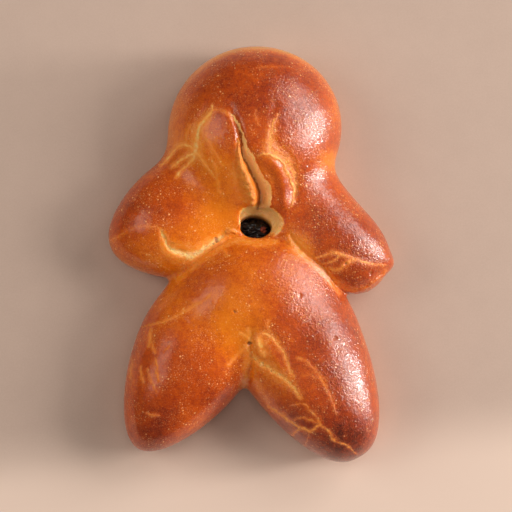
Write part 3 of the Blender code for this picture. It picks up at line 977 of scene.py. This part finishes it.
# Pale specks: blisters and flecks, which crowd together in places, and a lace of threads by the tears
crowd = noise_of(place, CROWDS_PER_METRE, 2.0).between(0.36, 0.66)
flecks = noise_of(place, FLECKS_PER_METRE, 2.0, 0.6).between(0.53, 0.70) * (1 - crumb)
blisters = dots_of(place, BLISTERS_PER_METRE, 0.18, 0.42, 0.34) * (1 - crumb)
lace = noise_of(place, LACE_PER_METRE, 3.0, 0.7) - 0.5
lace = (lace * lace).between(0.0020, 0.0) * golden * (1 - pale)
specks = (blisters + flecks * 0.52) * (0.10 + crowd * 0.90) * bake.between(1.0, 0.6)
crust = (specks + lace * 0.40).tint(crust, SPECK_PALE)

# The torn skin, with painted shade in the gaps between its crumbs and a ragged edge, and the painted
# shade of the hollows over all
crumbs = noise_of(place, CRUMBS_PER_METRE, 4.0, 0.7)
paleness = pale * 0.80 + 0.10 + mottle * 0.9 + grain * 0.5
torn = paleness.node("ShaderNodeValToRGB", {"stops": TORN_STOPS}, {0: paleness})
# Painted shade where the crumb relief is low
torn = ((0.50 - crumbs) * crumb * 9.0).between(0.0, 1.4).tint(torn, CRUMB_GAP_SHADE)
ragged = noise_of(place, RAGS_PER_METRE, 3.0, 0.6) - 0.5
crust = (pale * (1.0 + ragged * 2.6)).between(0.05, 0.95).tint(crust, torn)
# Painted shade in the hollows: the pocket round the raisin, the pits and the slash's crevice
crust = (stain.between(0.0, 0.5) * 0.9).tint(crust, PAINTED_SHADE_BROWN)
crust = (stain.between(0.45, 1.0) * 0.97).tint(crust, PAINTED_SHADE_DARK)
feed(shader, "Base Color", crust)
feed(shader, "Roughness", 0.19 - wrinkled * 0.06 + golden * 0.25 + crumb * 0.35 + mottle * 0.14)

# The fine relief: folds and pimples where the glaze wrinkled, crumbs where the skin tore
folds = noise_of(place, FOLDS_PER_METRE, 3.0, 0.6) - 0.5
pimples = noise_of(place, PIMPLES_PER_METRE, 2.0, 0.6) - 0.5
skin = folds * FOLD_HEIGHT + pimples * (PIMPLE_HEIGHT + crowd * CROWDED_PIMPLE_HEIGHT)
skin = skin * wrinkled + mottle * MOTTLE_HEIGHT + grain * wrinkled * GRAIN_HEIGHT
raised = blisters * (BLISTER_HEIGHT + wrinkled * WRINKLED_BLISTER_HEIGHT)
height = skin * (1 - crumb) + crumbs * crumb * CRUMB_HEIGHT + raised
bump = height.node("ShaderNodeBump", {}, {"Height": height, "Distance": 1.0, "Strength": 1.0})
feed(shader, "Normal", bump)
feed(shader, "Coat Weight", (0.10 + wrinkled * 0.52) * (1 - crumb))
shader.inputs["Coat Roughness"].default_value = 0.42
shader.inputs["IOR"].default_value = 1.62
shader.inputs["Subsurface Weight"].default_value = 0.45
shader.inputs["Subsurface Radius"].default_value = (1.0, 0.35, 0.10)
shader.inputs["Subsurface Scale"].default_value = 0.0009
loaf.data.materials.clear()
loaf.data.materials.append(glaze)
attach(loaf, "root")
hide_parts("brioche_man")

# The raisin
# A dried grape that was pressed into the pocket before baking: nearly black, deeply wrinkled and
# shiny, with a red-brown fleck where its skin is thin. It lies in the seat that the CAD node fills.
RAISIN_TURN = math.radians(12)
RAISIN_SWELL = 1.04
FOLD_STRETCH = (0.7, 1.6, 1.6)
FOLD_SIZE = 0.42
FOLD_DEPTH = 0.24
CREASE_SIZE = 0.20
CREASE_DEPTH = 0.08
SHARPNESS = 4
CORNER_SWELL = 0.16
RAISIN_BLACK = (0.0035, 0.002, 0.002, 1.0)
RAISIN_BROWN = (0.010, 0.005, 0.004, 1.0)
FLECK_RED = (0.23, 0.035, 0.014, 1.0)
FLECK_PLACE = (0.0062, 0.0096, 0.0232)
FLECK_EDGE = (0.0024, 0.0017)
WRINKLES_PER_METRE = 900.0
WRINKLE_HEIGHT = 0.00010

low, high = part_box("raisin")
middle = (low + high) / 2
bpy.ops.object.select_all(action="DESELECT")
bpy.ops.mesh.primitive_uv_sphere_add(segments=128, ring_count=80, radius=1.0)
raisin = bpy.context.object
raisin.name = "wrinkled_raisin"
ball = points_of(raisin)
along_fold = ball * FOLD_STRETCH
folds = 1 - np.abs(lumps(along_fold, FOLD_SIZE, 7.0))
creases = 1 - np.abs(lumps(along_fold, CREASE_SIZE, 19.0))
corners = 2 * np.abs(ball[:, 0] * ball[:, 1])
radius = RAISIN_SWELL - FOLD_DEPTH * folds**SHARPNESS - CREASE_DEPTH * creases**SHARPNESS
radius = radius + CORNER_SWELL * corners
turned = ball * radius[:, None]
cosine, sine = math.cos(RAISIN_TURN), math.sin(RAISIN_TURN)
turned[:, :2] = turned[:, :2] @ np.array([[cosine, sine], [-sine, cosine]])
set_points(raisin, np.array(middle) + turned * np.array((high - low) / 2))
raisin.data.shade_smooth()

skin_finish, shader, place = start_finish("raisin_skin")
wrinkle = noise_of(place, WRINKLES_PER_METRE, 4.0, 0.6)
from_fleck = place.node(
    "ShaderNodeVectorMath", {"operation": "DISTANCE"}, {0: place, 1: FLECK_PLACE}, output=1
)
fleck = (from_fleck + wrinkle * 0.0012).between(*FLECK_EDGE)
dark = wrinkle.between(0.35, 0.70).tint(RAISIN_BLACK, RAISIN_BROWN)
feed(shader, "Base Color", fleck.tint(dark, FLECK_RED))
feed(shader, "Roughness", 0.24 + wrinkle * 0.24)
dents = wrinkle * WRINKLE_HEIGHT
feed(shader, "Normal", dents.node("ShaderNodeBump", {}, {"Height": dents, "Distance": 1.0}))
shader.inputs["IOR"].default_value = 1.38
raisin.data.materials.clear()
raisin.data.materials.append(skin_finish)
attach(raisin, "root")
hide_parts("raisin")

# The floor
# A plain sheet of pale pinkish board, with painted light that makes it paler towards the feet. It isn't
# part of the object.
FLOOR_SIZE = 4.0
BOARD_DEEP = (0.46, 0.350, 0.290, 1.0)
BOARD_PALE = (0.51, 0.39, 0.325, 1.0)
PAINTED_LIGHT_AT_FEET = (0.74, 0.585, 0.49, 1.0)
FEET_EDGE = (-0.066, -0.098)
FEET_EDGE_SLANT = 0.07

bpy.ops.object.select_all(action="DESELECT")
bpy.ops.mesh.primitive_plane_add(size=FLOOR_SIZE)
floor = bpy.context.object
floor.name = "pale_floor"
board, shader, place = start_finish("pale_board")
weave = noise_of(place, 60.0, 5.0, 0.7) + (noise_of(place, 1400.0, 2.0) - 0.5) * 1.2
paint = weave.tint(BOARD_DEEP, BOARD_PALE)
across = place.node("ShaderNodeSeparateXYZ", {}, {0: place})
from_feet = place.node("ShaderNodeSeparateXYZ", {}, {0: place}, output=1) - across * FEET_EDGE_SLANT
# Painted light: the board turns paler towards the feet
paint = (from_feet.between(*FEET_EDGE) * 0.8).tint(paint, PAINTED_LIGHT_AT_FEET)
feed(shader, "Base Color", paint)
shader.inputs["Roughness"].default_value = 0.9
shader.inputs["Specular IOR Level"].default_value = 0.1
floor.data.materials.append(board)

# The lights
# A small soft box low on the right, two wider and weaker ones above it, and a panel high on the left
# are mirrored in the glaze. Three fill lights, which aren't, and the dim room lift the shadows.
AIM = Vector((0.0, 0.0, 0.02))
FILL_SIZE = (1.0, 1.0)
FILL_COLOUR = (1.0, 0.93, 0.86)
ROOM_COLOUR = (1.0, 0.90, 0.84, 1.0)
ROOM_STRENGTH = 0.10


def add_light(name, place, size, power, colour):
    bpy.ops.object.light_add(type="AREA", location=place)
    light = bpy.context.object
    light.name = name
    light.data.shape = "RECTANGLE"
    light.data.size, light.data.size_y = size
    light.data.energy = power
    light.data.color = colour
    light.rotation_mode = "QUATERNION"
    light.rotation_quaternion = (AIM - Vector(place)).to_track_quat("-Z", "Y")


add_light("soft_box", (1.66, 0.14, 0.40), (0.26, 0.30), 19.0, (1.0, 0.96, 0.92))
add_light("high_box", (1.40, 0.12, 0.98), (0.70, 0.55), 16.0, (1.0, 0.94, 0.88))
add_light("corner_box", (1.06, 0.90, 1.00), (0.75, 0.75), 9.0, (1.0, 0.95, 0.90))
add_light("left_panel", (-1.10, 0.20, 1.40), (0.75, 0.75), 2.4, (1.0, 0.92, 0.84))
for name, place, power in [
    ("left_fill", (-1.30, 0.30, 1.00), 8.0),
    ("foot_fill", (-0.20, -1.40, 1.00), 3.0),
    ("top_fill", (0.0, 0.10, 2.10), 7.0),
]:
    add_light(name, place, FILL_SIZE, power, FILL_COLOUR)
    bpy.context.object.visible_glossy = False

room = bpy.data.worlds.new("room")
bpy.context.scene.world = room
room.use_nodes = True
background = room.node_tree.nodes["Background"]
background.inputs["Color"].default_value = ROOM_COLOUR
background.inputs["Strength"].default_value = ROOM_STRENGTH
bpy.context.scene.view_settings.view_transform = "Standard"
